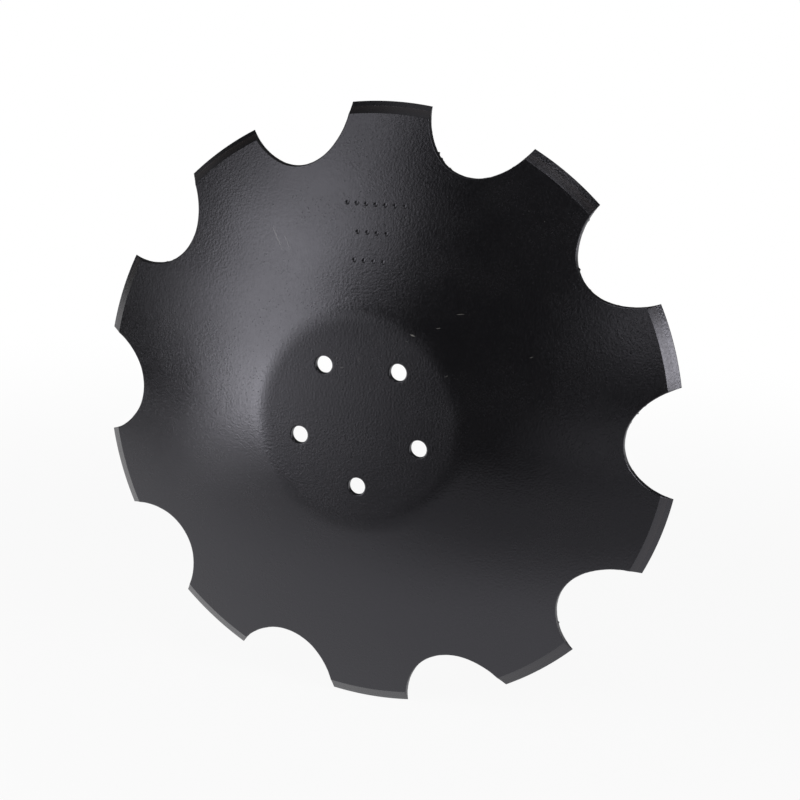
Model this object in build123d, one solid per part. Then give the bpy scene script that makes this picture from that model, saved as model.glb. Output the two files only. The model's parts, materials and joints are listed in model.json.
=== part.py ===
from build123d import *
import math
import os

# Notched harrow disc: one pressed and hardened steel blade with a flat hub seat and a dished,
# notched, bevelled ring. Millimetres. The disc's axis is Y. The convex side faces -Y, and its
# flat seat lies in the plane y = 0, so the blade reaches towards +Y. The middle of one tooth
# points up, along +Z.

# Plate
disc_diameter = 460.0
plate_thickness = 5.0

# Dish: a flat centre, a short bend, then one wide arc out to the rim
seat_radius = 72.0
dish_depth = 43.5
bend_radius = 60.0
dish_radius = 1100.0

# Cutting edge, ground on the convex side
bevel_width = 8.5
edge_land = 1.0

# Notches, punched along the axis
tooth_count = 10
notch_depth = 39.0
notch_floor_radius = 35.5
notch_floor_half_turn = 35.5
notch_flank_radius = 54.5

# Bolt holes for the hub
bolt_count = 5
bolt_circle = 98.0
bolt_hole_diameter = 13.0
bolt_hole_chamfer = 0.5

# Derived
rim_radius = disc_diameter / 2
tooth_pitch = 360.0 / tooth_count
rim_height = plate_thickness + dish_depth
cut_reach = 2 * rim_height


def unit(angle):
    """Return the unit vector at an angle in radians, measured from the first axis."""
    return Vector(math.cos(angle), math.sin(angle))


def dish_centres():
    """Return the centres of the bend arc and of the wide dish arc, as (radius, height)."""
    bend_centre = Vector(seat_radius, plate_thickness + bend_radius)
    to_rim = Vector(rim_radius, rim_height) - bend_centre
    apart = dish_radius - bend_radius
    cosine = (apart**2 + to_rim.length**2 - dish_radius**2) / (2 * apart * to_rim.length)
    direction = math.atan2(to_rim.Y, to_rim.X) + math.acos(cosine)
    return bend_centre, bend_centre + unit(direction) * apart


def face_arcs(outwards):
    """Return the bend and dish arcs of one face of the plate, and where the dish arc ends.

    The concave face has the driving radii, and the convex face lies one plate thickness
    further from the same centres. The concave arc ends at the rim, and the convex one where
    the bevel starts.
    """
    bend_centre, dish_centre = dish_centres()
    away = (bend_centre - dish_centre).normalized()
    bend = bend_radius + outwards
    dish = dish_radius + outwards
    end_radius = rim_radius - (bevel_width if outwards else 0.0)
    slope = math.atan2(away.X, -away.Y)
    end_slope = math.asin((end_radius - dish_centre.X) / dish)
    seat_end = bend_centre + unit(-math.pi / 2) * bend
    bend_middle = bend_centre + unit(slope / 2 - math.pi / 2) * bend
    bend_end = bend_centre + away * bend
    dish_middle = dish_centre + unit((slope + end_slope) / 2 - math.pi / 2) * dish
    dish_end = dish_centre + unit(end_slope - math.pi / 2) * dish
    bend_arc = ThreePointArc(seat_end, bend_middle, bend_end)
    dish_arc = ThreePointArc(bend_end, dish_middle, dish_end)
    return seat_end, bend_arc, dish_arc, dish_end


def plate():
    """Return the dished round blank with its bevel, turned about the Y axis."""
    convex_seat, convex_bend, convex_dish, bevel_start = face_arcs(plate_thickness)
    concave_seat, concave_bend, concave_dish, rim = face_arcs(0.0)
    land_start = Vector(rim_radius, rim_height - edge_land)
    section = [
        Line((0, 0), convex_seat),
        convex_bend,
        convex_dish,
        Polyline(bevel_start, land_start, rim),
        concave_dish,
        concave_bend,
        Line(concave_seat, (0, plate_thickness)),
        Line((0, plate_thickness), (0, 0)),
    ]
    return revolve(make_face(Curve() + section), axis=Axis.Y)


def notch_cutter():
    """Return the punch for the notch that points along local +Y, as a bar along the axis."""
    turn = math.radians(notch_floor_half_turn)
    floor_centre = Vector(0, rim_radius - notch_depth + notch_floor_radius)
    floor_end = floor_centre + unit(turn - math.pi / 2) * notch_floor_radius
    flank_centre = floor_end - unit(turn - math.pi / 2) * notch_flank_radius
    flank_middle = flank_centre + unit(turn / 2 - math.pi / 4) * notch_flank_radius
    flank_end = flank_centre + unit(0) * notch_flank_radius
    top = max(rim_radius, flank_end.Y) + plate_thickness
    half = [
        ThreePointArc(floor_end, flank_middle, flank_end),
        Polyline(flank_end, Vector(flank_end.X, top), Vector(0, top)),
    ]
    floor_start = Vector(-floor_end.X, floor_end.Y)
    floor = ThreePointArc(floor_start, Vector(0, rim_radius - notch_depth), floor_end)
    outline = [floor] + half + [mirror(line, Plane.YZ) for line in half]
    return extrude(Plane.XZ * make_face(Curve() + outline), amount=cut_reach, both=True)


def around(piece, angle):
    """Return a piece turned about the disc's axis, by an angle in degrees."""
    return piece.rotate(Axis.Y, angle)


def bolt_holes():
    """Return the drills of the hub's bolt holes, each on the middle line of a tooth."""
    drill = Pos(0, 0, -bolt_circle / 2) * Rot(90, 0, 0) * Cylinder(bolt_hole_diameter / 2, cut_reach)
    return [around(drill, 360.0 * index / bolt_count) for index in range(bolt_count)]


def hole_rims(blade):
    """Return the sharp rim edges of the bolt holes on both faces."""
    radius = bolt_hole_diameter / 2
    circles = blade.edges().filter_by(GeomType.CIRCLE)
    return [edge for edge in circles if abs(edge.radius - radius) < bolt_hole_chamfer / 10]


def disc_blade():
    """Return the finished blade: dished, notched between its teeth, drilled and deburred."""
    blade = plate()
    notch = notch_cutter()
    for index in range(tooth_count):
        blade -= around(notch, tooth_pitch * (index + 0.5))
    for drill in bolt_holes():
        blade -= drill
    return chamfer(hole_rims(blade), bolt_hole_chamfer)


os.makedirs("parts", exist_ok=True)
export_step(disc_blade(), "parts/disc_blade.step")
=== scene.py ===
"""Looks of a notched harrow disc: the pressed blade, its black paint and a plain studio.

Metres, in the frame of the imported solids: the disc's axis is Y, its convex side faces -Y with
the flat hub seat in the plane y = 0, and the middle of one tooth points up, along +Z.
"""

import json
import logging
import math
from dataclasses import dataclass, field
from enum import Enum

import bmesh
import bpy
from mathutils import Matrix, Vector


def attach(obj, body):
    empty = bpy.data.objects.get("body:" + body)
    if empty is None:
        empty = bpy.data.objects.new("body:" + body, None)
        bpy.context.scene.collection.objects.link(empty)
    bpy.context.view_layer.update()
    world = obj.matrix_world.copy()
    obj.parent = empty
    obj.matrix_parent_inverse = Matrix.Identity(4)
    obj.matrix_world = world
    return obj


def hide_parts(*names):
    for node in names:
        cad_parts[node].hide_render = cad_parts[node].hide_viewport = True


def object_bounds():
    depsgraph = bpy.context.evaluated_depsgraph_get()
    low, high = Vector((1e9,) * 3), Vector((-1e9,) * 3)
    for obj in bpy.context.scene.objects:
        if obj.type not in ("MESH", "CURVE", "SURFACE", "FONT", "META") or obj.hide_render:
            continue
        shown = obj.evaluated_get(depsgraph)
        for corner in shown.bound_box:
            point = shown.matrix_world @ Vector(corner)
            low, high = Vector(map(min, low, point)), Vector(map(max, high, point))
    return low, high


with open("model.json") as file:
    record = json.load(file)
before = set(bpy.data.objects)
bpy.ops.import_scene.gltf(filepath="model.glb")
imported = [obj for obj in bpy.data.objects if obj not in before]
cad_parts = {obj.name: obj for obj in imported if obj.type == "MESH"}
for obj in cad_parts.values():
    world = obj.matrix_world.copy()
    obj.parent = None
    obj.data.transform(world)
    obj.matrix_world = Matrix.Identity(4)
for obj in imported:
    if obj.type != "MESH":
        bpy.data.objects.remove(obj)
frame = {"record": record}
cad_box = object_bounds()
log = logging.getLogger("harrow_disc")
MM = 0.001


class Face(Enum):
    """The two faces of the blade, by how far each lies outside the concave face's arcs."""

    CONVEX = 1.0
    CONCAVE = 0.0


@dataclass(frozen=True)
class Value:
    """A node's output, with arithmetic that adds Math nodes to its graph."""

    graph: "Graph"
    socket: bpy.types.NodeSocket

    def __add__(self, other: "Value | float") -> "Value":
        """Return self + other."""
        return self.graph.math("ADD", self, other)

    __radd__ = __add__

    def __sub__(self, other: "Value | float") -> "Value":
        """Return self - other."""
        return self.graph.math("SUBTRACT", self, other)

    def __rsub__(self, other: "Value | float") -> "Value":
        """Return other - self."""
        return self.graph.math("SUBTRACT", other, self)

    def __mul__(self, other: "Value | float") -> "Value":
        """Return self * other."""
        return self.graph.math("MULTIPLY", self, other)

    __rmul__ = __mul__

    def __truediv__(self, other: "Value | float") -> "Value":
        """Return self / other."""
        return self.graph.math("DIVIDE", self, other)

    def __pow__(self, other: "Value | float") -> "Value":
        """Return self to the power of other."""
        return self.graph.math("POWER", self, other)

    def __lt__(self, other: "Value | float") -> "Value":
        """Return 1 where self is less than other, and 0 elsewhere."""
        return self.graph.math("LESS_THAN", self, other)

    def __gt__(self, other: "Value | float") -> "Value":
        """Return 1 where self is greater than other, and 0 elsewhere."""
        return self.graph.math("GREATER_THAN", self, other)

    def most(self, other: "Value | float") -> "Value":
        """Return the greater of self and other."""
        return self.graph.math("MAXIMUM", self, other)

    def least(self, other: "Value | float") -> "Value":
        """Return the smaller of self and other."""
        return self.graph.math("MINIMUM", self, other)

    def size(self) -> "Value":
        """Return self without its sign."""
        return self.graph.math("ABSOLUTE", self)

    def sin(self) -> "Value":
        """Return the sine of self."""
        return self.graph.math("SINE", self)

    def cos(self) -> "Value":
        """Return the cosine of self."""
        return self.graph.math("COSINE", self)

    def sqrt(self) -> "Value":
        """Return the square root of self, or 0 where self is negative."""
        return self.graph.math("SQRT", self)

    def share(self, low: "Value | float", high: "Value | float") -> "Value":
        """Return where self lies from low to high, as 0 to 1."""
        spread = {"Value": self, "From Min": low, "From Max": high}
        return self.graph.node("ShaderNodeMapRange", {"clamp": True}, spread)

    def smooth(self, low: "Value | float", high: "Value | float") -> "Value":
        """Return a smooth step of self from low to high, as 0 to 1."""
        spread = {"Value": self, "From Min": low, "From Max": high}
        return self.graph.node("ShaderNodeMapRange", {"interpolation_type": "SMOOTHSTEP"}, spread)

    def toward(self, other: "Value | float", share: "Value | float") -> "Value":
        """Return self at share 0 and other at share 1."""
        return self + (other - self) * share

    def output(self, name: str) -> "Value":
        """Return another output of the same node."""
        return Value(self.graph, self.socket.node.outputs[name])


@dataclass(frozen=True)
class Graph:
    """A node tree that is being written, of Geometry Nodes or of a material."""

    tree: bpy.types.NodeTree

    def node(self, kind: str, settings: dict | None = None, feeds: dict | None = None,
             output: int | str = 0) -> Value:
        """Add a node.

        Args:
            kind: the node's type name.
            settings: properties that are set before the sockets; "stops" fills a colour ramp.
            feeds: values or links by socket name or number.
            output: the name or number of the output to return.

        Returns:
            The chosen output.
        """
        made = self.tree.nodes.new(kind)
        for name, setting in (settings or {}).items():
            if name == "stops":
                self._fill_ramp(made.color_ramp, setting)
            else:
                setattr(made, name, setting)
        for key, value in (feeds or {}).items():
            self.feed(made.inputs[key], value)
        return Value(self, made.outputs[output])

    def feed(self, socket: bpy.types.NodeSocket, value: object) -> None:
        """Link a Value into a socket, or set the socket's own value."""
        if isinstance(value, Value):
            self.tree.links.new(value.socket, socket)
        elif isinstance(value, list):
            for one in value:
                self.tree.links.new(one.socket, socket)
        else:
            socket.default_value = value

    def math(self, operation: str, *values: "Value | float") -> Value:
        """Add a Math node of one operation on the values."""
        return self.node("ShaderNodeMath", {"operation": operation}, dict(enumerate(values)))

    def combine(self, x: "Value | float", y: "Value | float", z: "Value | float") -> Value:
        """Return the vector of three values."""
        return self.node("ShaderNodeCombineXYZ", None, {0: x, 1: y, 2: z})

    def split(self, vector: Value) -> tuple[Value, Value, Value]:
        """Return the three values of a vector."""
        first = self.node("ShaderNodeSeparateXYZ", None, {0: vector})
        return first, first.output("Y"), first.output("Z")

    def mix(self, share: "Value | float", first: object, second: object) -> Value:
        """Mix two colours, each a Value or a tuple."""
        made = self.node("ShaderNodeMix", {"data_type": "RGBA"}, {0: share, 6: first, 7: second}, 2)
        return made

    def noise(self, place: Value, scale: float, detail: float = 2.0) -> Value:
        """Return a noise texture of about 0 to 1 at a place, with its scale in features per metre."""
        feeds = {"Vector": place, "Scale": scale, "Detail": detail}
        return self.node("ShaderNodeTexNoise", None, feeds)

    @staticmethod
    def _fill_ramp(ramp: bpy.types.ColorRamp, stops: list[tuple[float, tuple]]) -> None:
        """Give a colour ramp its stops."""
        while len(ramp.elements) < len(stops):
            ramp.elements.new(0.5)
        for element, (place, colour) in zip(ramp.elements, stops):
            element.position = place
            element.color = colour


@dataclass(frozen=True)
class GeometryTree(Graph):
    """A Geometry Nodes tree with named inputs, and one geometry in and out."""

    @classmethod
    def named(cls, name: str, sizes: dict[str, float]) -> "GeometryTree":
        """Start a tree.

        Args:
            name: the tree's name.
            sizes: the named inputs and their default values.

        Returns:
            The tree with its group input.
        """
        tree = bpy.data.node_groups.new(name, "GeometryNodeTree")
        face = tree.interface
        face.new_socket("Geometry", in_out="INPUT", socket_type="NodeSocketGeometry")
        for label, size in sizes.items():
            kind = "NodeSocketInt" if isinstance(size, int) else "NodeSocketFloat"
            made = face.new_socket(label, in_out="INPUT", socket_type=kind)
            made.default_value = size
        face.new_socket("Finish", in_out="INPUT", socket_type="NodeSocketMaterial")
        face.new_socket("Geometry", in_out="OUTPUT", socket_type="NodeSocketGeometry")
        tree.nodes.new("NodeGroupInput")
        return cls(tree)

    def given(self, name: str) -> Value:
        """Return a named input of the tree."""
        return Value(self, self.tree.nodes["Group Input"].outputs[name])

    def place(self, geometry: Value, position: Value) -> Value:
        """Move the points of a geometry to new places."""
        return self.node("GeometryNodeSetPosition", None, {"Geometry": geometry, "Position": position})

    def join(self, *pieces: Value) -> Value:
        """Join several geometries."""
        return self.node("GeometryNodeJoinGeometry", None, {0: list(pieces)})

    def real(self, geometry: Value) -> Value:
        """Turn instances into real geometry."""
        return self.node("GeometryNodeRealizeInstances", None, {0: geometry})

    def index(self) -> Value:
        """Return each point's number."""
        return self.node("GeometryNodeInputIndex")

    def position(self) -> Value:
        """Return each point's place."""
        return self.node("GeometryNodeInputPosition")

    def lattice(self, columns: int, levels: int) -> tuple[Value, Value, Value]:
        """Return a grid mesh, and its points' column from 0 to columns and level from 0 to levels."""
        grid = self.node("GeometryNodeMeshGrid", None, {
            "Size X": float(columns), "Size Y": float(levels),
            "Vertices X": columns + 1, "Vertices Y": levels + 1})
        x, y, _ = self.split(self.position())
        return grid, self.math("ROUND", x + columns / 2), self.math("ROUND", y + levels / 2)

    def close(self, geometry: Value, smooth_angle: float) -> None:
        """End the tree: smooth faces, sharp edges, real instances and the finish.

        Args:
            geometry: what the tree made.
            smooth_angle: edges that turn by more than this, in radians, stay sharp.
        """
        angle = self.node("GeometryNodeInputMeshEdgeAngle", None, None, "Unsigned Angle")
        faces = self.node("GeometryNodeSetShadeSmooth", {"domain": "FACE"},
                          {"Geometry": self.real(geometry), "Shade Smooth": True})
        edges = self.node("GeometryNodeSetShadeSmooth", {"domain": "EDGE"},
                          {"Geometry": faces, "Selection": angle > smooth_angle, "Shade Smooth": False})
        finished = self.node("GeometryNodeSetMaterial", None,
                             {"Geometry": edges, "Material": self.given("Finish")})
        end = self.tree.nodes.new("NodeGroupOutput")
        self.tree.links.new(finished.socket, end.inputs["Geometry"])

    def run(self, seed: bpy.types.Object, name: str, sizes: dict[str, float],
            finish: bpy.types.Material) -> bpy.types.Object:
        """Run the tree on an object and keep the result as a plain mesh.

        Args:
            seed: the object that the tree starts from; it is removed.
            name: the new piece's name.
            sizes: values for the named inputs.
            finish: the piece's material.

        Returns:
            The new piece, at the origin.
        """
        modifier = seed.modifiers.new(name, "NODES")
        modifier.node_group = self.tree
        for item in self.tree.interface.items_tree:
            if item.in_out == "INPUT" and item.name in sizes:
                modifier[item.identifier] = sizes[item.name]
            elif item.in_out == "INPUT" and item.name == "Finish":
                modifier[item.identifier] = finish
        evaluated = seed.evaluated_get(bpy.context.evaluated_depsgraph_get())
        mesh = bpy.data.meshes.new_from_object(evaluated)
        mesh.name = name
        seed.modifiers.clear()
        bpy.data.meshes.remove(seed.data)
        piece = bpy.data.objects.new(name, mesh)
        bpy.context.scene.collection.objects.link(piece)
        return piece


@dataclass(frozen=True)
class BladeSizes:
    """The blade's sizes in metres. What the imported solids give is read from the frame."""

    plate: float = 5.0 * MM
    seat_radius: float = 72.0 * MM
    bend_radius: float = 60.0 * MM
    dish_radius: float = 1100.0 * MM
    bevel_width: float = 8.5 * MM
    edge_land: float = 1.0 * MM
    teeth: int = 10
    notch_depth: float = 39.0 * MM
    notch_floor_radius: float = 35.5 * MM
    notch_floor_half_turn: float = math.radians(35.5)
    notch_flank_radius: float = 54.5 * MM
    rim_radius: float = (cad_box[1].z - cad_box[0].z) / 2
    rim_height: float = cad_box[1].y
    bolts: dict = field(default_factory=lambda: frame["record"]["mounts"][0]["dims"])

    @property
    def pitch(self) -> float:
        """Return the angle from one tooth to the next."""
        return math.tau / self.teeth

    @property
    def bevel_start(self) -> float:
        """Return the radius at which the bevel starts on the convex face."""
        return self.rim_radius - self.bevel_width

    @property
    def dish_centre(self) -> tuple[float, float]:
        """Return the centre of the dish arcs, as radius and height along the axis."""
        bend_height = self.plate + self.bend_radius
        out, up = self.rim_radius - self.seat_radius, self.rim_height - bend_height
        reach, apart = math.hypot(out, up), self.dish_radius - self.bend_radius
        cosine = (apart**2 + reach**2 - self.dish_radius**2) / (2 * apart * reach)
        turn = math.atan2(up, out) + math.acos(cosine)
        return self.seat_radius + apart * math.cos(turn), bend_height + apart * math.sin(turn)

    def notch_half(self, spacing: float) -> list[tuple[float, float]]:
        """Return half of a notch, from its floor out to the rim.

        Args:
            spacing: the distance from one point to the next, about.

        Returns:
            Points as the distance beside and along the notch's middle line.
        """
        turn, floor, flank = self.notch_floor_half_turn, self.notch_floor_radius, self.notch_flank_radius
        middle = self.rim_radius - self.notch_depth + floor
        beside, along = -(flank - floor) * math.sin(turn), middle + (flank - floor) * math.cos(turn)
        steps = round(turn * floor / spacing)
        points = [(floor * math.sin(turn * k / steps), middle - floor * math.cos(turn * k / steps))
                  for k in range(steps)]
        stations = [turn]
        for radius in (self.bevel_start, self.rim_radius):
            start, end = stations[-1], self._flank_turn(beside, along, radius)
            steps = round((end - start) * flank / spacing)
            stations += [start + (end - start) * (k + 1) / steps for k in range(steps)]
        points += [(beside + flank * math.sin(angle), along - flank * math.cos(angle)) for angle in stations]
        return points

    def _flank_turn(self, beside: float, along: float, radius: float) -> float:
        """Return the angle on the flank arc at which it is a radius away from the disc's axis."""
        reach, flank = math.hypot(beside, along), self.notch_flank_radius
        cosine = (reach**2 + flank**2 - radius**2) / (2 * reach * flank)
        return math.acos(cosine) - math.atan2(beside, along)


@dataclass
class Blade:
    """The pressed plate with its notches, bevel, bolt holes and row marks."""

    sizes: BladeSizes
    finish: bpy.types.Material
    notch_spacing: float = 0.95 * MM
    tooth_steps: int = 12
    ring_radius: float = 62.0 * MM
    bend_ring: float = 90.0 * MM
    bend_levels: int = 10
    dish_levels: int = 13
    bevel_levels: int = 5
    fillet_levels: int = 4
    wall_levels: int = 4
    crease_support: float = 0.15 * MM
    rim_support: float = 0.15 * MM
    rollover: float = 0.75 * MM
    back_edge: float = 0.25 * MM
    rim_edge: float = 0.1 * MM
    wave_height: float = 0.12 * MM
    wave_scale: float = 14.0
    tear_height: float = 0.22 * MM
    tear_scale: float = 260.0
    burr_height: float = 1.3 * MM
    burr_scale: float = 330.0
    hole_facets: int = 64
    hole_levels: int = 5
    hole_rounding: float = 0.8 * MM
    hole_margin: float = 0.5 * MM
    dot_width: float = 3.4 * MM
    dot_depth: float = 0.5 * MM
    dot_step: float = 7.4 * MM
    dot_rows: tuple = ((158.0 * MM, 7), (138.0 * MM, 4), (118.0 * MM, 4))

    def outline(self) -> bpy.types.Object:
        """Return one pitch of the blade's outline, from a notch's floor to the next floor."""
        sizes = self.sizes
        half = sizes.notch_half(self.notch_spacing)
        corner = math.atan2(*half[-1])
        tooth = [corner + (sizes.pitch - 2 * corner) * k / self.tooth_steps
                 for k in range(1, self.tooth_steps)]
        points = [(math.atan2(x, z), math.hypot(x, z)) for x, z in half]
        points += [(angle, sizes.rim_radius) for angle in tooth]
        points += [(sizes.pitch - math.atan2(x, z), math.hypot(x, z)) for x, z in half[:0:-1]]
        places = [(radius * math.sin(angle), 0.0, radius * math.cos(angle)) for angle, radius in points]
        mesh = bpy.data.meshes.new("outline")
        mesh.from_pydata(places, [(k, k + 1) for k in range(len(places) - 1)], [])
        strip = bpy.data.objects.new("outline", mesh)
        bpy.context.scene.collection.objects.link(strip)
        return strip

    def tree_sizes(self, points: int) -> dict[str, float]:
        """Return the values of the tree's named inputs, for an outline of so many points."""
        sizes = self.sizes
        centre = sizes.dish_centre
        return {
            "Pitch points": points,
            "Teeth": sizes.teeth,
            "Plate": sizes.plate,
            "Seat radius": sizes.seat_radius,
            "Bend radius": sizes.bend_radius,
            "Dish radius": sizes.dish_radius,
            "Dish centre radius": centre[0],
            "Dish centre height": centre[1],
            "Rim radius": sizes.rim_radius,
            "Rim height": sizes.rim_height,
            "Bevel width": sizes.bevel_width,
            "Edge land": sizes.edge_land,
            "Rollover": self.rollover,
            "Back edge": self.back_edge,
            "Rim edge": self.rim_edge,
            "Wave height": self.wave_height,
            "Tear height": self.tear_height,
            "Burr height": self.burr_height,
            "Bolt circle": sizes.bolts["pcd_mm"] * MM,
            "Bolt hole radius": sizes.bolts["hole_r_mm"] * MM,
            "Bolt count": sizes.bolts["count"],
            "Dot width": self.dot_width,
            "Dot depth": self.dot_depth,
        }

    def face_height(self, graph: GeometryTree, radius: Value, face: Face) -> Value:
        """Return how far along the axis one face lies, at a radius.

        Args:
            graph: the tree.
            radius: the distance from the disc's axis.
            face: the face.

        Returns:
            The height, with the bevel on the convex face.
        """
        given = graph.given
        outward = given("Plate") * face.value
        bend, dish = given("Bend radius") + outward, given("Dish radius") + outward
        out = radius - given("Seat radius")
        seat = given("Plate") - outward
        bent = given("Plate") + given("Bend radius") - (bend * bend - out * out).sqrt()
        lean = (given("Seat radius") - given("Dish centre radius")) / (given("Dish radius") - given("Bend radius"))
        dished = self._dish_height(graph, radius, dish)
        height = seat.toward(bent, out > 0.0).toward(dished, out > bend * lean)
        if face is Face.CONCAVE:
            return height
        start = given("Rim radius") - given("Bevel width")
        low, high = self._dish_height(graph, start, dish), given("Rim height") - given("Edge land")
        return height.most(low + (high - low) * (radius - start) / given("Bevel width"))

    def _dish_height(self, graph: GeometryTree, radius: Value, dish: Value) -> Value:
        """Return the height of the wide arc of a dish radius, at a distance from the axis."""
        off = radius - graph.given("Dish centre radius")
        return graph.given("Dish centre height") - (dish * dish - off * off).sqrt()

    def edge_point(self, graph: GeometryTree, column: Value) -> tuple[Value, Value]:
        """Return the outline's point at a column, as x and z."""
        points = graph.given("Pitch points")
        index = graph.math("FLOORED_MODULO", column, points)
        turns = graph.math("FLOOR", column / points)
        sample = graph.node("GeometryNodeSampleIndex", {"data_type": "FLOAT_VECTOR", "domain": "POINT"},
                            {"Geometry": graph.given("Geometry"), "Value": graph.position(), "Index": index})
        x, _, z = graph.split(sample)
        angle = (turns + 0.5) * math.tau / graph.given("Teeth")
        sine, cosine = angle.sin(), angle.cos()
        return x * cosine + z * sine, z * cosine - x * sine

    def tree(self, points: int) -> GeometryTree:
        """Return the tree that presses, punches and grinds the blade.

        Args:
            points: how many points one pitch of the outline has.

        Returns:
            The tree. Its grid's columns run round the outline, and its levels run from the hub
            seat over the convex face, through the edge's wall and back over the concave face.
        """
        graph = GeometryTree.named("press_blade", self.tree_sizes(points))
        columns = points * self.sizes.teeth
        skirt = self._skirt(graph, columns)
        seats = [self._seat(graph, columns, 0.0), self._seat(graph, columns, graph.given("Plate"))]
        shell = graph.real(graph.join(skirt, *seats, self._hole_walls(graph)))
        welded = graph.node("GeometryNodeMergeByDistance", None, {"Geometry": shell, "Distance": 2e-6})
        marked = graph.node("GeometryNodeMeshBoolean", {"operation": "DIFFERENCE", "solver": "EXACT"},
                            {"Mesh 1": welded, "Mesh 2": [self._dots(graph)]})
        graph.close(marked, math.radians(25))
        return graph

    def _skirt(self, graph: GeometryTree, columns: int) -> Value:
        """Return the dished ring with its notched edge, open at the seat on both faces."""
        given = graph.given
        face_levels = self.bend_levels + self.dish_levels
        crest = face_levels + self.bevel_levels
        wall_start = crest + self.fillet_levels
        wall_end = wall_start + self.wall_levels
        back = wall_end + self.fillet_levels
        levels = back + face_levels
        grid, column, level = graph.lattice(columns, levels)
        concave = level > (wall_start + wall_end) / 2

        edge_x, edge_z = self.edge_point(graph, column)
        before_x, before_z = self.edge_point(graph, column - 1)
        after_x, after_z = self.edge_point(graph, column + 1)
        along_x, along_z = after_x - before_x, after_z - before_z
        length = (along_x * along_x + along_z * along_z).sqrt()
        out_x, out_z = 0 - along_z / length, along_x / length
        bevel_start = given("Rim radius") - given("Bevel width")
        rim_share = (edge_x * edge_x + edge_z * edge_z).sqrt().smooth(
            bevel_start, given("Rim radius") - given("Edge land"))

        convex_round = given("Rollover").toward(given("Rim edge"), rim_share)
        concave_round = given("Back edge").toward(given("Rim edge"), rim_share)
        convex_turn = level.share(float(crest), float(wall_start)) * (math.pi / 2)
        concave_turn = level.share(float(wall_end), float(back)) * (math.pi / 2)
        inset = (convex_round * (1 - convex_turn.sin())).toward(
            concave_round * (1 - concave_turn.cos()), concave)
        on_wall = level.share(float(crest), float(wall_start)) * (1 - level.share(float(wall_end), float(back)))
        grain = graph.noise(graph.combine(edge_x, level * (0.9 * MM), edge_z), self.tear_scale, 3.0)
        tear = (grain - 0.5) * given("Tear height") * 2 * on_wall * (1 - rim_share)
        burr = self._burr(graph, edge_x, edge_z) * (1 - rim_share)
        on_burr = level.share(wall_end - 2.0, float(wall_end)) * (1 - level.share(float(wall_end), float(back)))
        push = tear + burr * on_burr - inset
        rough_x, rough_z = edge_x + out_x * push, edge_z + out_z * push
        edge_radius = (rough_x * rough_x + rough_z * rough_z).sqrt()
        edge_angle = graph.math("ARCTAN2", rough_x, rough_z)

        mirrored = level.least(levels - level)
        bend_share = mirrored.share(0.0, float(self.bend_levels))
        dish_share = mirrored.share(float(self.bend_levels), face_levels - 1.0)
        at_crease = mirrored.share(face_levels - 1.0, float(face_levels))
        past_crease = mirrored.share(float(face_levels), face_levels + 1.0)
        bevel_share = mirrored.share(face_levels + 1.0, crest - 1.0).most(concave)
        at_rim = mirrored.share(crest - 1.0, float(crest)).most(concave)
        face_end = edge_radius.least(bevel_start).toward(edge_radius, concave)
        support = (edge_radius - face_end).least(self.crease_support)
        bevel_reach = edge_radius - face_end - support
        rim_support = bevel_reach.least(self.rim_support)
        radius = (self.ring_radius + bend_share * (self.bend_ring - self.ring_radius)
                  + dish_share * (face_end - self.crease_support - self.bend_ring)
                  + at_crease * self.crease_support + past_crease * support
                  + at_crease * (bevel_share * (bevel_reach - rim_support) + at_rim * rim_support))
        even_angle = (column / columns + 0.5 / self.sizes.teeth) * math.tau
        wrap = graph.math("WRAP", edge_angle - even_angle, math.pi, -math.pi)
        angle = even_angle + wrap * (dish_share ** 1.6).toward(1.0, at_crease)

        drop = convex_round * (1 - convex_turn.cos())
        rise = concave_round * (1 - concave_turn.sin())
        top = self.face_height(graph, radius, Face.CONVEX) + drop
        bottom = self.face_height(graph, radius, Face.CONCAVE) - rise
        height = top.toward(bottom, level.share(float(wall_start), float(wall_end)))
        flat = graph.combine(radius * angle.sin(), 0.0, radius * angle.cos())
        swell = graph.noise(flat, self.wave_scale, 1.0)
        fade = radius.smooth(self.bend_ring, 0.13) * (1 - radius.smooth(0.19, 0.222))
        height = height + (swell - 0.5) * given("Wave height") * 2 * fade
        return graph.place(grid, graph.combine(radius * angle.sin(), height, radius * angle.cos()))

    def _burr(self, graph: GeometryTree, edge_x: Value, edge_z: Value) -> Value:
        """Return how far torn steel stands out from the back of a notch's edge, at a place."""
        place = graph.combine(edge_x, 0.031, edge_z)
        lumps = graph.noise(place, self.burr_scale, 1.0).smooth(0.56, 0.78)
        patches = graph.noise(place, 38.0, 1.0).smooth(0.42, 0.66)
        return lumps * patches * graph.given("Burr height")

    def _bolt_points(self, graph: GeometryTree) -> Value:
        """Return the middles of the bolt holes in plan, the first straight down."""
        given = graph.given
        angle = graph.index() * math.tau / given("Bolt count") + math.pi
        reach = given("Bolt circle") / 2
        return graph.node("GeometryNodePoints", None, {
            "Count": given("Bolt count"), "Position": graph.combine(reach * angle.sin(), reach * angle.cos(), 0.0)})

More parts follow.
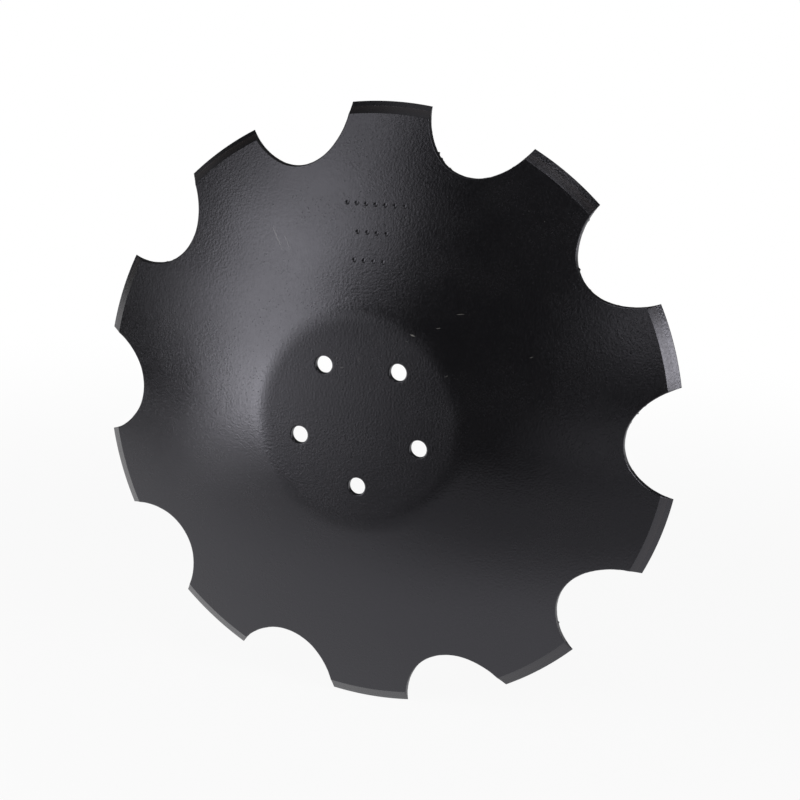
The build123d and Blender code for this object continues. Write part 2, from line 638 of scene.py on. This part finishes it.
    def _seat(self, graph: GeometryTree, columns: int, height: "Value | float") -> Value:
        """Return the flat middle of one face, open at the bolt holes."""
        given = graph.given
        ring = graph.node("GeometryNodeCurvePrimitiveCircle", None, {"Resolution": columns, "Radius": 1.0})
        angle = (graph.index() / columns + 0.5 / self.sizes.teeth) * math.tau
        ring = graph.place(ring, graph.combine(
            angle.sin() * self.ring_radius, angle.cos() * self.ring_radius, 0.0))
        hole = graph.node("GeometryNodeCurvePrimitiveCircle", None, {
            "Resolution": self.hole_facets,
            "Radius": given("Bolt hole radius") + (self.hole_rounding + self.hole_margin)})
        holes = graph.node("GeometryNodeInstanceOnPoints", None,
                           {"Points": self._bolt_points(graph), "Instance": hole})
        flat = graph.node("GeometryNodeFillCurve", {"mode": "TRIANGLES"},
                          {"Curve": graph.real(graph.join(ring, holes))})
        x, z, _ = graph.split(graph.position())
        return graph.place(flat, graph.combine(x, height, z))

    def _hole_walls(self, graph: GeometryTree) -> Value:
        """Return the walls of the bolt holes, rounded where they meet both faces."""
        given = graph.given
        levels = 2 * self.hole_levels + 3
        grid, column, level = graph.lattice(self.hole_facets, levels)
        mirrored = level.least(levels - level)
        turn = mirrored.share(1.0, self.hole_levels + 1.0) * (math.pi / 2)
        margin = (1 - mirrored.share(0.0, 1.0)) * self.hole_margin
        radius = given("Bolt hole radius") + self.hole_rounding * (1 - turn.sin()) + margin
        depth = self.hole_rounding * (1 - turn.cos())
        height = depth.toward(given("Plate") - depth, level > levels / 2)
        angle = column * (math.tau / self.hole_facets)
        wall = graph.place(grid, graph.combine(radius * angle.cos(), height, radius * angle.sin()))
        x, z, _ = graph.split(graph.position())
        middles = graph.place(self._bolt_points(graph), graph.combine(x, 0.0, z))
        return graph.node("GeometryNodeInstanceOnPoints", None, {"Points": middles, "Instance": wall})

    def _dots(self, graph: GeometryTree) -> Value:
        """Return the balls that leave the rows of punched dots in the convex face."""
        given = graph.given
        width, depth = given("Dot width"), given("Dot depth")
        ball_radius = (width * width / 4 + depth * depth) / (depth * 2)
        rows = []
        for reach, count in self.dot_rows:
            beside = (graph.index() - (count - 1) / 2) * self.dot_step
            radius = (beside * beside + reach * reach).sqrt()
            height = self.face_height(graph, radius, Face.CONVEX) + depth - ball_radius
            rows.append(graph.node("GeometryNodePoints", None, {
                "Count": count, "Position": graph.combine(beside, height, reach)}))
        ball = graph.node("GeometryNodeMeshUVSphere", None, {"Segments": 40, "Rings": 40, "Radius": ball_radius})
        dots = graph.node("GeometryNodeInstanceOnPoints", None, {"Points": graph.join(*rows), "Instance": ball})
        return graph.real(dots)

    def make(self) -> bpy.types.Object:
        """Return the finished blade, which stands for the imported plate."""
        strip = self.outline()
        points = len(strip.data.vertices)
        blade = self.tree(points).run(strip, "pressed_blade", self.tree_sizes(points), self.finish)
        shell = bmesh.new()
        shell.from_mesh(blade.data)
        bmesh.ops.recalc_face_normals(shell, faces=shell.faces)
        gaps = sum(not edge.is_manifold for edge in shell.edges)
        shell.to_mesh(blade.data)
        shell.free()
        log.info("%s: %d faces, %d open edges", blade.name, len(blade.data.polygons), gaps)
        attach(blade, "root")
        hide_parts("disc_blade")
        return blade


@dataclass(frozen=True)
class Mark:
    """A scratch or a speck on the convex face: its two ends in millimetres, and how plain it shows."""

    x: float
    z: float
    end_x: float
    end_z: float
    width: float
    strength: float

    def share(self, graph: Graph, place: Value) -> Value:
        """Return how much of the mark shows at a place, as 0 to its strength."""
        along, up = self.end_x - self.x, self.end_z - self.z
        length = math.hypot(along, up) + self.width
        middle = ((self.x + self.end_x) / 2 * MM, 0.0, (self.z + self.end_z) / 2 * MM)
        inside = graph.node("ShaderNodeMapping", {"vector_type": "TEXTURE"}, {
            "Vector": place, "Location": middle, "Rotation": (0.0, -math.atan2(up, along), 0.0),
            "Scale": (length / 2 * MM, 1.0, self.width / 2 * MM)})
        away = graph.node("ShaderNodeVectorMath", {"operation": "LENGTH"}, {0: inside}, "Value")
        return (1 - away.smooth(0.4, 1.1)) * self.strength


@dataclass(frozen=True)
class BlackPaint:
    """Satin black paint over hot-rolled steel: fine mottle, mill grain, pits and dust."""

    black: tuple = (0.0026, 0.0025, 0.0029, 1.0)
    worn: tuple = (0.0036, 0.0034, 0.0037, 1.0)
    ground: tuple = (0.0150, 0.0115, 0.0100, 1.0)
    sheen: tuple = (0.905, 0.890, 1.0, 1.0)
    dust: tuple = (0.200, 0.195, 0.180, 1.0)
    roughness: float = 0.23
    bevel_start: float = 221.5 * MM
    marks: tuple = (
        Mark(-81.6, 137.1, -69.6, 118.7, 0.7, 0.8),
        Mark(-70.6, 131.6, -63.0, 119.4, 0.6, 0.5),
        Mark(-2.6, 49.3, -0.1, 44.3, 0.6, 0.3),
        Mark(37.4, 68.6, 40.4, 67.6, 1.2, 1.0),
        Mark(69.0, 85.2, 74.6, 85.8, 0.7, 0.5),
        Mark(55.6, 74.4, 58.6, 74.9, 0.7, 0.5),
        Mark(64.8, 40.4, 66.8, 41.6, 0.7, 0.4),
        Mark(123.2, 58.2, 125.0, 58.9, 0.9, 0.4),
        Mark(-15.9, 39.0, -13.4, 39.2, 0.9, 0.4),
    )

    def make(self) -> bpy.types.Material:
        """Return the material."""
        material = bpy.data.materials.new("black_paint")
        material.use_nodes = True
        tree = material.node_tree
        tree.nodes.clear()
        graph = Graph(tree)
        coordinates = graph.node("ShaderNodeTexCoord")
        place = coordinates.output("Object")
        x, y, z = graph.split(place)
        radius = (x * x + z * z).sqrt()
        _, facing, _ = graph.split(coordinates.output("Normal"))
        wall = 1 - facing.size().smooth(0.35, 0.6)
        bevel = (radius > self.bevel_start) * (y < 0.0445) * (1 - wall)

        patches = graph.noise(place, 22.0, 4.0)
        mottle = graph.noise(place, 620.0, 3.0)
        streaks = graph.noise(graph.combine(x * 900.0, y * 900.0, z * 260.0), 1.0, 2.0)
        pit_cells = graph.node("ShaderNodeTexVoronoi", {"feature": "F1"}, {"Vector": place, "Scale": 210.0})
        chance, _, _ = graph.split(pit_cells.output("Color"))
        pits = (1 - pit_cells.smooth(0.10, 0.22)) * (chance > 0.985)
        lines = graph.noise(graph.combine(radius, 0.0, 0.0), 720.0, 1.0)
        waves = graph.noise(place, 150.0, 2.0)
        grain = mottle * 0.32 + waves * 0.08 + streaks * 0.05 - pits * 0.12
        height = grain * (1 - bevel * 0.7) + lines * bevel * 0.12
        bump = graph.node("ShaderNodeBump", None,
                          {"Strength": 1.0, "Distance": 0.40 * MM, "Height": height}, "Normal")

        specks = graph.node("ShaderNodeTexVoronoi", {"feature": "F1"}, {"Vector": place, "Scale": 62.0})
        _, lot, _ = graph.split(specks.output("Color"))
        dust = (1 - specks.smooth(0.02, 0.045)) * (lot > 0.93) * 0.6
        for mark in self.marks:
            dust = dust.most(mark.share(graph, place))
        grinding = bevel * radius.share(self.bevel_start, self.bevel_start + 6 * MM) * (lines + 0.5)
        tone = graph.mix(grinding, graph.mix(patches.smooth(0.3, 0.7), self.black, self.worn), self.ground)
        colour = graph.mix(dust, tone, self.dust)
        shine = self.roughness + (patches - 0.5) * 0.16 + (mottle - 0.5) * 0.24 + wall * 0.2 + bevel * 0.04
        shader = graph.node("ShaderNodeBsdfPrincipled", None, {
            "Base Color": colour, "Roughness": shine, "IOR": 1.6, "Specular Tint": self.sheen, "Normal": bump})
        end = tree.nodes.new("ShaderNodeOutputMaterial")
        tree.links.new(shader.socket, end.inputs["Surface"])
        return material


@dataclass(frozen=True)
class SoftBox:
    """A lamp behind a stretched cloth that faces the disc.

    Azimuth is in degrees from -Y towards +X, elevation in degrees above the horizon, width and
    height in metres, and glow is the cloth's radiance, where 1 shows as white.
    """

    name: str
    azimuth: float
    elevation: float
    width: float
    height: float
    glow: float
    distance: float = 1.5

    def hang(self) -> None:
        """Add the lamp to the scene."""
        data = bpy.data.lights.new(self.name, "AREA")
        data.shape = "RECTANGLE"
        data.size, data.size_y = self.width, self.height
        data.energy = self.glow * math.pi * self.width * self.height
        lamp = bpy.data.objects.new(self.name, data)
        turn, lift = math.radians(self.azimuth), math.radians(self.elevation)
        away = Vector((math.sin(turn) * math.cos(lift), -math.cos(turn) * math.cos(lift), math.sin(lift)))
        lamp.location = away * self.distance
        lamp.rotation_euler = away.to_track_quat("Z", "Y").to_euler()
        lamp.visible_camera = False
        bpy.context.scene.collection.objects.link(lamp)


@dataclass(frozen=True)
class Studio:
    """Pale floor, soft lamps and the camera."""

    lens: float = 83.77
    camera_place: tuple = (0.46507, -1.24029, 0.31589)
    camera_azimuth: float = 19.272
    camera_drop: float = 12.693
    camera_roll: float = 2.247
    room_glow: float = 0.075
    floor_reach: float = 14.0
    floor_front: float = 0.45
    floor_colour: tuple = (0.80, 0.80, 0.80, 1.0)
    seen_white: float = 0.93
    glossy_white: float = 1.0
    glossy_start: float = 0.05
    glossy_end: float = 0.32
    glossy_skew: float = 0.12
    lamps: tuple = (
        SoftBox("left_foot_outer", -50, -9, 0.22, 0.20, 5.2, 0.8),
        SoftBox("left_foot_inner", -38, -9, 0.22, 0.20, 2.1, 0.8),
        SoftBox("front_foot", -26, -12, 0.22, 0.20, 0.8, 0.8),
        SoftBox("left_table", -56, -21, 0.22, 0.14, 0.5, 0.5),
        SoftBox("right_foot", 36, -13, 0.26, 0.12, 0.5, 0.75),
        SoftBox("left_low_outer", -58, 3, 0.34, 0.34, 0.9),
        SoftBox("left_low", -47, 3, 0.34, 0.34, 3.7),
        SoftBox("left_low_inner", -36, 3, 0.34, 0.34, 2.3),
        SoftBox("left_low_front", -24, 2, 0.34, 0.34, 1.0),
        SoftBox("left_middle", -47, 16, 0.34, 0.34, 2.7),
        SoftBox("left_middle_inner", -36, 16, 0.34, 0.34, 2.9),
        SoftBox("left_high_outer", -46, 29, 0.34, 0.34, 1.3),
        SoftBox("left_high", -34, 28, 0.34, 0.34, 2.2),
        SoftBox("left_high_inner", -22, 26, 0.34, 0.34, 1.4),
        SoftBox("left_top", -30, 42, 0.40, 0.34, 1.8),
        SoftBox("left_side", -85, 18, 0.80, 0.80, 0.25),
        SoftBox("front_right", 34, 10, 0.34, 0.34, 1.2),
        SoftBox("right_edge", 74, 9, 0.60, 0.40, 7.8),
        SoftBox("right_top", 35, 50, 0.50, 0.50, 3.8),
        SoftBox("overhead_left", -43, 62, 0.60, 0.60, 0.2),
        SoftBox("overhead", 0, 80, 1.20, 1.20, 0.4, 2.0),
    )

    def camera(self) -> None:
        """Place the camera where the photograph was taken from."""
        data = bpy.data.cameras.new("camera")
        data.lens = self.lens
        data.sensor_width = 36.0
        camera = bpy.data.objects.new("camera", data)
        turn = (Matrix.Rotation(math.radians(self.camera_azimuth), 4, "Z")
                @ Matrix.Rotation(math.radians(90 - self.camera_drop), 4, "X")
                @ Matrix.Rotation(math.radians(self.camera_roll), 4, "Z"))
        camera.matrix_world = Matrix.Translation(self.camera_place) @ turn
        bpy.context.scene.collection.objects.link(camera)
        bpy.context.scene.camera = camera

    def floor(self) -> None:
        """Lay the pale floor under the lowest tooth."""
        mesh = bpy.data.meshes.new("floor")
        reach, low = self.floor_reach, cad_box[0].z
        front = -self.floor_front
        corners = [(-reach, front, low), (reach, front, low), (reach, reach, low), (-reach, reach, low)]
        mesh.from_pydata(corners, [], [(0, 1, 2, 3)])
        floor = bpy.data.objects.new("floor", mesh)
        bpy.context.scene.collection.objects.link(floor)
        material = bpy.data.materials.new("floor")
        material.use_nodes = True
        tree = material.node_tree
        tree.nodes.clear()
        graph = Graph(tree)
        x, y, _ = graph.split(graph.node("ShaderNodeTexCoord").output("Object"))
        afar = (x * x + y * y).sqrt().smooth(0.5, 1.6)
        rays = graph.node("ShaderNodeLightPath")
        skew = x.smooth(-self.glossy_end, self.glossy_end) * self.glossy_skew
        near = 1 - (0 - y).smooth(self.glossy_start, self.glossy_end - skew)
        matte = graph.node("ShaderNodeBsdfDiffuse", None, {"Color": self.floor_colour})
        glow = graph.node("ShaderNodeEmission", None, {"Color": (1.0, 1.0, 1.0, 1.0), "Strength": 1.0})
        seen = (rays.output("Is Camera Ray") * (self.seen_white + afar * (1 - self.seen_white))
                + rays.output("Is Glossy Ray") * near * self.glossy_white)
        both = graph.node("ShaderNodeMixShader", None, {0: seen, 1: matte, 2: glow})
        end = tree.nodes.new("ShaderNodeOutputMaterial")
        tree.links.new(both.socket, end.inputs["Surface"])
        mesh.materials.append(material)

    def world(self) -> None:
        """Give the room its dim light, and a white background to the camera."""
        world = bpy.data.worlds.new("room")
        bpy.context.scene.world = world
        world.use_nodes = True
        tree = world.node_tree
        tree.nodes.clear()
        graph = Graph(tree)
        seen = graph.node("ShaderNodeLightPath", None, None, "Is Camera Ray")
        strength = seen * (1 - self.room_glow) + self.room_glow
        light = graph.node("ShaderNodeBackground", None, {"Color": (1.0, 1.0, 1.0, 1.0), "Strength": strength})
        end = tree.nodes.new("ShaderNodeOutputWorld")
        tree.links.new(light.socket, end.inputs["Surface"])

    def make(self) -> None:
        """Set up the whole studio."""
        bpy.context.scene.view_settings.view_transform = "Standard"
        self.camera()
        self.floor()
        self.world()
        for lamp in self.lamps:
            lamp.hang()


def main() -> None:
    """Build the blade and the studio."""
    logging.basicConfig(level=logging.INFO)
    paint = BlackPaint().make()
    Blade(BladeSizes(), paint).make()
    Studio().make()


if __name__ == "__main__":
    main()
